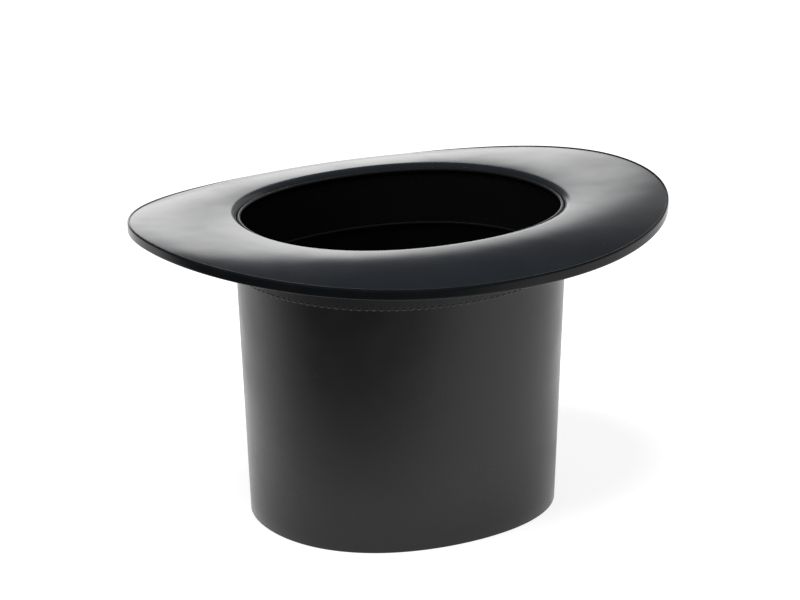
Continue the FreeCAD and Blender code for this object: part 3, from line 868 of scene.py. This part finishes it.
class TOPHAT_OT_sweatband(Operator):
    """Set the sweatband inside the collar, rolled over its cord, with its row of stitches"""
    bl_idname = "tophat.sweatband"
    bl_label = "Sweatband"

    def execute(self, context):
        shape, finish = shape_of(context)
        angle = round_angles(shape.columns)
        reed_level = (REED_LOW + REED_HIGH) / 2
        skin = shape.rolled_leather
        back = wall_face(shape, 1)
        start = shape.crest_level - shape.lip_height
        foot = SWEATBAND_FOOT + shape.leather / 2
        face = back + shape.leather / 2
        hem = wall_run(shape, foot, foot + 2 * shape.hem, face, 24, angle)
        band_radius, band_height = chain(
            hem, wall_run(shape, foot + 2 * shape.hem, start, face, 16, angle))
        shoulder = (band_height[:, 0] - foot - 0.4 * shape.hem) / (0.6 * shape.hem)
        fold = shape.hem / 2 * np.sqrt(1 - np.clip(shoulder, 0, 1) ** 2)
        band_radius = band_radius - fold[:, None] / 2
        centre = crown_radius(shape, reed_level, shape.reed_inset, angle)
        roll = arc_run(centre, reed_level, shape.reed + skin / 2, 180, -50, 18)
        line = chain((band_radius, band_height), roll)
        thickness = np.full(len(line[0]), skin)
        thickness[:len(band_height)] = shape.leather + fold
        thickness[len(band_height) - 1] = (shape.leather + skin) / 2
        band = ring("sweatband_leather", thicken(line, thickness), angle)
        hide = leather("sweatband_hide", finish.leather)
        finish_piece(band, hide, "sweatband_leather", "sweatband")
        around = arc_run(centre, reed_level, shape.reed - shape.gap, 0, 330, 12)
        cord = ring("reed_cord", around, angle)
        # The cord takes the pale thread colour, a painted highlight meant for the stitches.
        twist = waxed_thread("reed_twist", finish.thread, pitch=0.003)
        finish_piece(cord, twist, "reed_cover", "sweatband_reed")
        level = shape.crest_level - shape.reed_stitch_drop
        inset = back + shape.leather + 0.2 * shape.thread
        line = round_points(crown_radius(shape, level, inset, angle), level, angle)
        inward = round_points(0 * angle - 1, 0.0, angle)
        row = stitch_row(
            "sweatband_sewing", line, inward, shape.stitch_pitch, shape.stitch_length, shape.thread)
        sewing = waxed_thread("band_thread", finish.dark_thread, density=1.15)
        finish_piece(row, sewing, "thread", "sweatband_stitches")
        return {"FINISHED"}


class TOPHAT_OT_tape(Operator):
    """Sew the tape round the crown under the brim"""
    bl_idname = "tophat.tape"
    bl_label = "Tape and Stitches"

    def execute(self, context):
        shape, finish = shape_of(context)
        angle = round_angles(shape.columns)
        half = shape.tape / 2
        low = tape_height(shape, angle)
        high = WALL_TOP - shape.gap
        side = wall_run(shape, low + half, high - half, -shape.gap - half, 14, angle)
        ribbon = ring("collar_ribbon", thicken(side, shape.tape), angle)
        ribs = shape.stitch_pitch / 3
        cloth = ribbed_ribbon("tape_ribs", finish.tape, ribs, roughness=0.5, depth=0.0001)
        finish_piece(ribbon, cloth, "tape", "collar_tape")
        girth = steps_of(round_points(side[0][0], side[1][0], angle))[-1]
        level = low + shape.thread / 2
        inset = -shape.gap - shape.tape - 0.2 * shape.thread
        line = round_points(crown_radius(shape, level, inset, angle), level, angle)
        outward = round_points(0 * angle + 1, 0.0, angle)
        row = stitch_row("crown_sewing", line, outward, shape.stitch_pitch, shape.stitch_length, shape.thread)
        # The crown's stitches take the pale thread colour, a painted highlight.
        finish_piece(row, waxed_thread("crown_thread", finish.thread), "thread", "crown_stitches")
        return {"FINISHED"}


# ---- studio ----

def direction(azimuth, elevation):
    """From the hat towards something at an azimuth and elevation, 0 azimuth being along -Y."""
    return Vector((
        math.sin(azimuth) * math.cos(elevation), -math.cos(azimuth) * math.cos(elevation),
        math.sin(elevation)))


def place_camera(scene, studio):
    """The camera, at its distance from the point that it looks at, and tilted by its roll."""
    aim = Vector(studio.aim)
    back = direction(studio.azimuth, studio.elevation)
    right = Vector((0, 0, 1)).cross(back).normalized()
    up = back.cross(right)
    turned_right = right * math.cos(studio.roll) + up * math.sin(studio.roll)
    turned_up = up * math.cos(studio.roll) - right * math.sin(studio.roll)
    camera_data = bpy.data.cameras.new("camera")
    camera_data.lens = studio.lens
    camera_data.sensor_width = 36.0
    camera = bpy.data.objects.new("camera", camera_data)
    turn = Matrix((turned_right, turned_up, back)).transposed().to_4x4()
    camera.matrix_world = Matrix.Translation(aim + back * studio.distance) @ turn
    scene.collection.objects.link(camera)
    scene.camera = camera


def soft_light(scene, name, place, aim, size, power):
    """A round lamp turned to a point. It lights the hat but is hidden from reflections."""
    light = bpy.data.lights.new(name, "AREA")
    light.shape = "DISK"
    light.size = size
    light.energy = power
    lamp = bpy.data.objects.new(name, light)
    lamp.visible_glossy = False
    turn = (aim - place).to_track_quat("-Z", "Y").to_matrix().to_4x4()
    lamp.matrix_world = Matrix.Translation(place) @ turn
    scene.collection.objects.link(lamp)


def studio_world(scene, studio):
    """A white wall behind the hat under a dim ceiling. In the wall's plane, height and side are
    tangents of the ray: the white grows with height, stops softly at a slanting top, and is
    dimmer to the right. In front of the hat the room is dim."""
    world = bpy.data.worlds.new("studio")
    world.use_nodes = True
    scene.world = world
    shader = Shader(world.node_tree)
    ray = shader.node("ShaderNodeTexCoord", output=0)
    x, y, z = (shader.node("ShaderNodeSeparateXYZ", inputs={0: ray}, output=axis) for axis in range(3))
    sine, cosine = math.sin(studio.azimuth), math.cos(studio.azimuth)
    away = y * cosine - x * sine
    left = x * -cosine - y * sine
    depth = away.at_least(LEAST_DEPTH)
    height = (z / depth).at_least(WALL_HEIGHTS[0]).at_most(WALL_HEIGHTS[1])
    side = (left / depth).at_least(WALL_SIDES[0]).at_most(WALL_SIDES[1])
    soft = studio.wall_blur
    top = 1 - (height - side * studio.wall_slant).step(studio.wall_top - soft, studio.wall_top + soft)
    turn = studio.wall_turn
    right = side.step(studio.wall_side - turn, studio.wall_side + turn, studio.wall_dim, 1.0)
    wall = (studio.wall_white + height * studio.wall_rise) * top * right
    strength = studio.room + wall * away.step(-0.1, 0.2)
    light = shader.node("ShaderNodeBackground", {}, {"Color": (1, 1, 1, 1), "Strength": strength})
    shader.node("ShaderNodeOutputWorld", {}, {"Surface": light})


def dark_flag(studio):
    """A dark sheet over the floor before the hat, seen only in reflections. It hides more of the
    floor with the distance from the hat, along a direction turned a little from the camera's."""
    near, far = studio.flag_near, studio.flag_far
    ahead = direction(studio.azimuth + studio.flag_turn, 0.0)
    aside = Vector((-ahead.y, ahead.x, 0))
    corners = [ahead * reach + aside * way for reach, way in (
        (near, far), (near, -far), (far, -far), (far, far))]
    points = np.array([(corner.x, corner.y, studio.flag_height) for corner in corners])
    flag = put_mesh("flag", points, [np.array([[0, 1, 2, 3]])], point_uv=points[:, :2])
    material, shader = new_material("flag_black")
    place = shader.object_place()
    x, y = (shader.node("ShaderNodeSeparateXYZ", inputs={0: place}, output=axis) for axis in range(2))
    cover = (x * ahead.x + y * ahead.y).step(studio.flag_start, studio.flag_end)
    dark = shader.node("ShaderNodeEmission", {}, {"Color": (0, 0, 0, 1)})
    clear = shader.node("ShaderNodeBsdfTransparent")
    mixed = shader.node("ShaderNodeMixShader", {}, {0: cover, 1: clear, 2: dark})
    shader.node("ShaderNodeOutputMaterial", {}, {"Surface": mixed})
    flag.data.materials.append(material)
    flag.visible_camera = False
    flag.visible_diffuse = False
    flag.visible_transmission = False
    flag.visible_shadow = False


class TOPHAT_OT_stage(Operator):
    """Set the pale floor, the soft studio light and the camera"""
    bl_idname = "tophat.stage"
    bl_label = "Studio"

    def execute(self, context):
        scene = context.scene
        studio = scene.top_hat_studio
        place_camera(scene, studio)
        studio_world(scene, studio)
        radius = np.array([*FLOOR_RINGS, studio.floor])[:, None]
        angle = round_angles(FLOOR_COLUMNS)
        floor_points = np.concatenate([
            round_points(radius, -studio.floor_drop, angle).reshape(-1, 3), [[0, 0, -studio.floor_drop]]])
        rings = len(radius)
        middle = fan(rings * FLOOR_COLUMNS, np.arange(FLOOR_COLUMNS))
        faces = [quads(rings, FLOOR_COLUMNS, False)[:, ::-1], middle]
        floor = put_mesh("floor", floor_points, faces, point_uv=floor_points[:, :2])
        floor.data.materials.append(plain_floor("floor_paper", studio.floor_colour, studio.floor_glow))
        dark_flag(studio)
        overhead = direction(studio.light_azimuth, studio.light_elevation) * studio.light_distance
        aim = Vector((0, 0, studio.light_aim))
        soft_light(scene, "softbox", overhead, aim, studio.light_size, studio.light_power)
        scene.view_settings.view_transform = "Standard"
        return {"FINISHED"}


# ---- panel ----

PIECE_OPERATORS = (
    TOPHAT_OT_crown, TOPHAT_OT_linings, TOPHAT_OT_brim, TOPHAT_OT_binding, TOPHAT_OT_sweatband,
    TOPHAT_OT_tape)


class TOPHAT_PT_panel(Panel):
    """Lists the hat's pieces, its sizes and its finishes"""
    bl_idname = "TOPHAT_PT_panel"
    bl_label = "Top Hat"
    bl_space_type = "VIEW_3D"
    bl_region_type = "UI"
    bl_category = "Top Hat"

    def draw(self, context):
        layout = self.layout
        for operator in (*PIECE_OPERATORS, TOPHAT_OT_stage):
            layout.operator(operator.bl_idname)
        scene = context.scene
        for group in (scene.top_hat_shape, scene.top_hat_finish, scene.top_hat_studio):
            box = layout.box()
            for name in group.__annotations__:
                box.prop(group, name)


GROUPS = {"top_hat_shape": TopHatShape, "top_hat_finish": TopHatFinish, "top_hat_studio": TopHatStudio}


def register():
    for group in GROUPS.values():
        bpy.utils.register_class(group)
    for operator in (*PIECE_OPERATORS, TOPHAT_OT_stage, TOPHAT_PT_panel):
        bpy.utils.register_class(operator)
    for name, group in GROUPS.items():
        setattr(bpy.types.Scene, name, PointerProperty(type=group))


def unregister():
    for name in GROUPS:
        delattr(bpy.types.Scene, name)
    for operator in (TOPHAT_PT_panel, TOPHAT_OT_stage, *reversed(PIECE_OPERATORS)):
        bpy.utils.unregister_class(operator)
    for group in reversed(GROUPS.values()):
        bpy.utils.unregister_class(group)


def main():
    """Builds the whole hat."""
    register()
    bpy.ops.tophat.stage()
    bpy.ops.tophat.crown()
    bpy.ops.tophat.linings()
    bpy.ops.tophat.brim()
    bpy.ops.tophat.binding()
    bpy.ops.tophat.sweatband()
    bpy.ops.tophat.tape()


if __name__ == "__main__":
    main()
